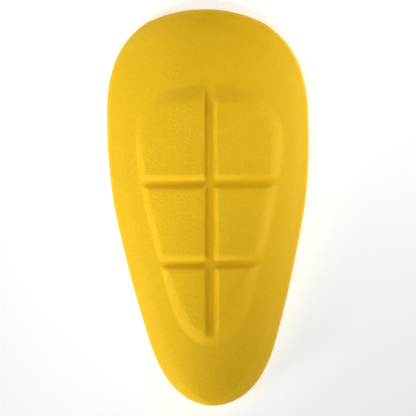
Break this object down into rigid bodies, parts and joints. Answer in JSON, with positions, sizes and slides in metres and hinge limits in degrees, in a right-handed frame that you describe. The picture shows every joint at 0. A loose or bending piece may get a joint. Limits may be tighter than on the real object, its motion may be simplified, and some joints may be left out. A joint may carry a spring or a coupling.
{
  "type": "hip pad",
  "caption": "Egg-shaped moulded foam pad, domed and hollow on its inner side, with a raised panel cut by grooves, which cushions a rider's hip.",
  "frame": {"origin": "centre of the bounding box in plan, on the plane that the pad's rim rests on", "axes": "+Y along the pad from its narrow tip to its wide top end, +Z out of the raised face, +X across the pad"},
  "size_m": [0.112, 0.22, 0.0296],
  "materials": {
    "foam": "matt moulded foam skin, yellow, with a fine grain"
  },
  "bodies": {
    "root": {"pad": "foam"}
  },
  "joints": []
}
